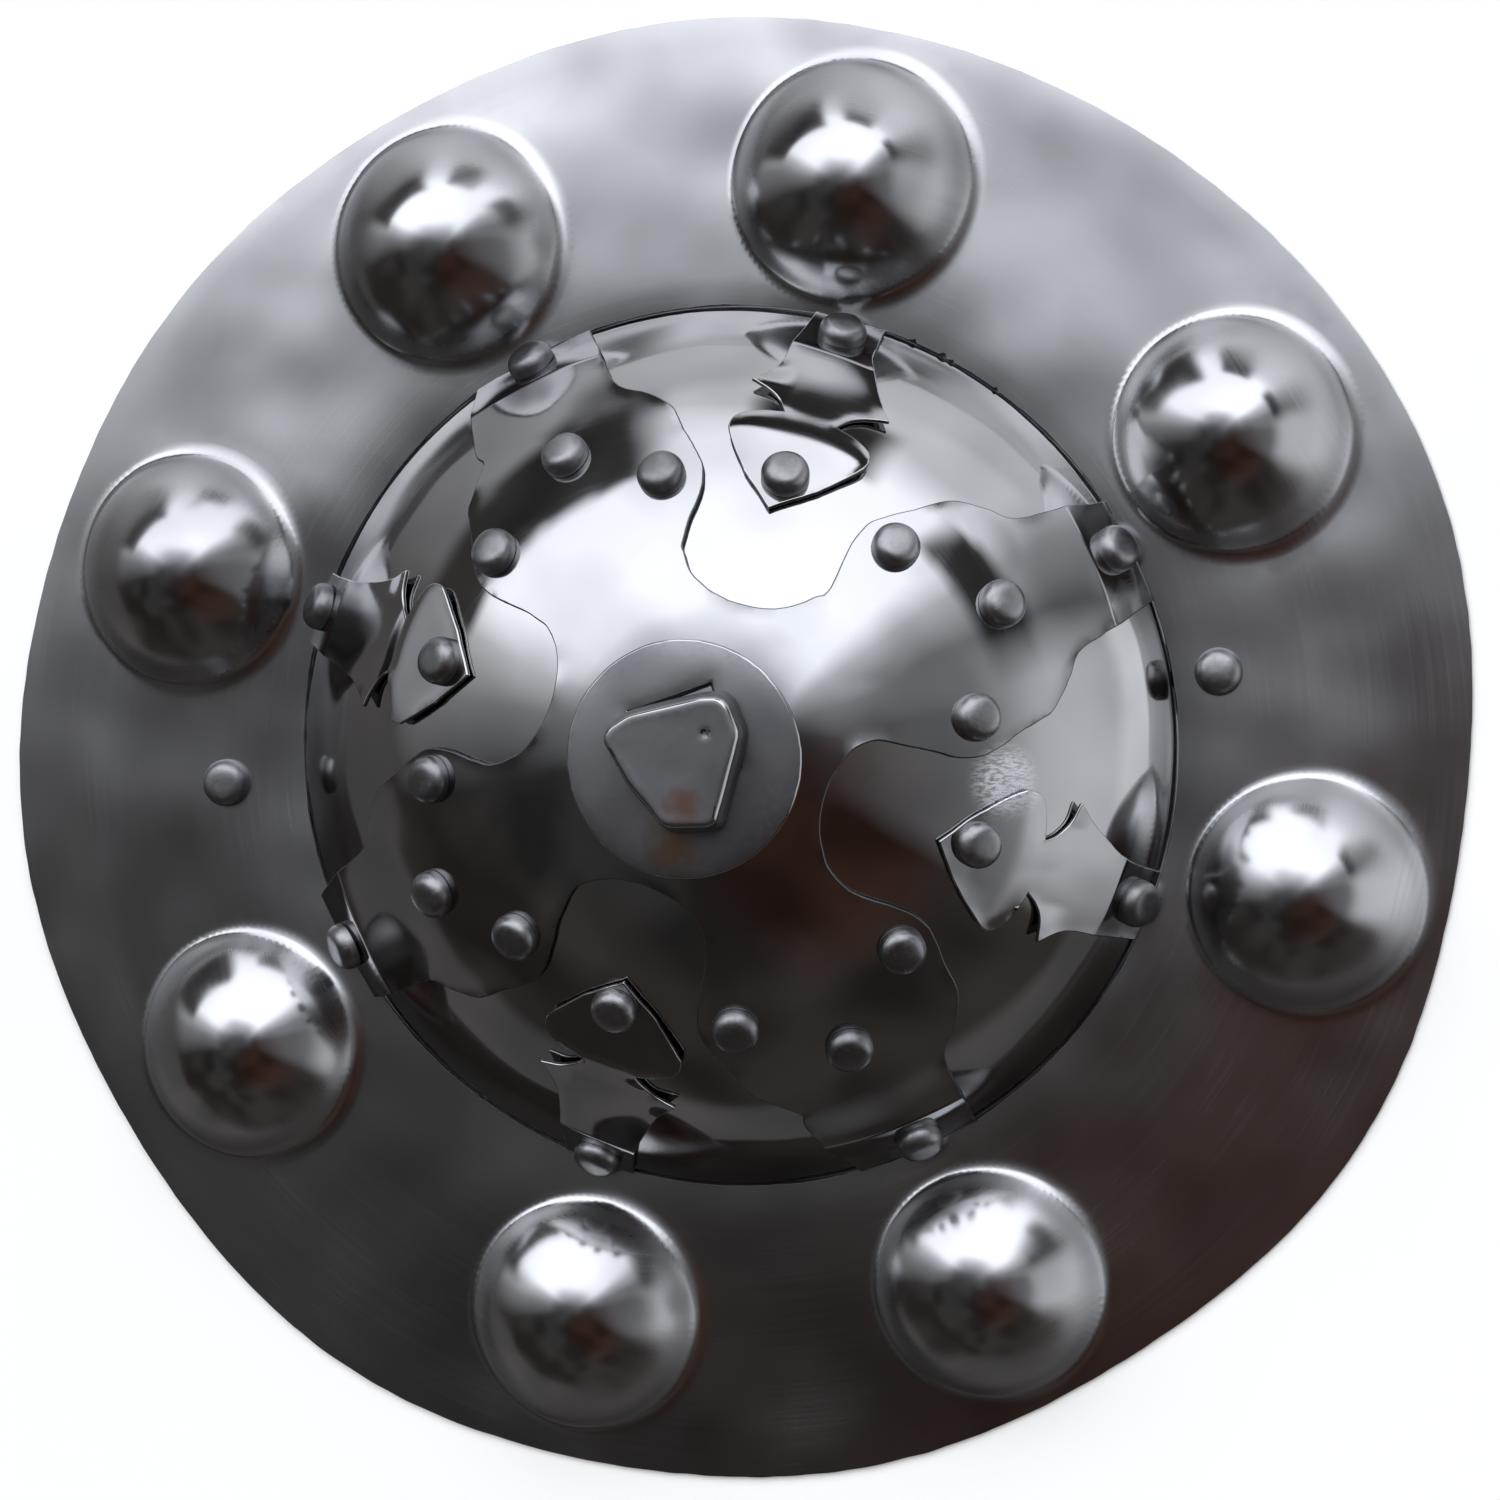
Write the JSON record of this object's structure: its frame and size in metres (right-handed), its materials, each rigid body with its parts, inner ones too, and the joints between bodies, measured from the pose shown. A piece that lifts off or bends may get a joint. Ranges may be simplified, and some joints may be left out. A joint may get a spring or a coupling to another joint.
{
  "type": "targe",
  "caption": "Round steel hand shield with a domed centre under riveted cut-out plates, raised hollow bosses round the rim and a bar grip behind.",
  "frame": {"origin": "under the middle of the shield's outline, level with the lower edge of the rim", "axes": "+Z out of the shield's face, +X to the right and +Y up as the face is looked at"},
  "size_m": [0.4568, 0.4496, 0.1083],
  "materials": {
    "satin_steel": "bare steel, hazy polish with fine scratches",
    "polished_steel": "bare steel, bright polish",
    "cover_steel": "bare steel, bright polish",
    "rivet_steel": "bare steel, satin",
    "bar_steel": "bare steel, dull, darker",
    "leather": "dark brown, worn smooth"
  },
  "bodies": {
    "root": {"shield_plate": "satin_steel", "umbo_bowl": "polished_steel", "cross_plate": "cover_steel", "heart_strap_top": "cover_steel", "heart_strap_left": "cover_steel", "heart_strap_bottom": "cover_steel", "heart_strap_right": "cover_steel", "umbo_washer": "rivet_steel", "umbo_stud": "rivet_steel", "rivet_lobe_1": "rivet_steel", "rivet_lobe_2": "rivet_steel", "rivet_lobe_3": "rivet_steel", "rivet_lobe_4": "rivet_steel", "rivet_lobe_5": "rivet_steel", "rivet_lobe_6": "rivet_steel", "rivet_lobe_7": "rivet_steel", "rivet_lobe_8": "rivet_steel", "rivet_lobe_9": "rivet_steel", "rivet_lobe_10": "rivet_steel", "rivet_lobe_11": "rivet_steel", "rivet_lobe_12": "rivet_steel", "rivet_heart_1": "rivet_steel", "rivet_heart_2": "rivet_steel", "rivet_heart_3": "rivet_steel", "rivet_heart_4": "rivet_steel", "rivet_foot_1": "rivet_steel", "rivet_foot_2": "rivet_steel", "rivet_foot_3": "rivet_steel", "rivet_foot_4": "rivet_steel", "rivet_foot_5": "rivet_steel", "rivet_foot_6": "rivet_steel", "rivet_foot_7": "rivet_steel", "rivet_foot_8": "rivet_steel", "rivet_plate_1": "rivet_steel", "rivet_plate_2": "rivet_steel", "grip_bar": "bar_steel", "grip_wrap": "leather"}
  },
  "joints": []
}
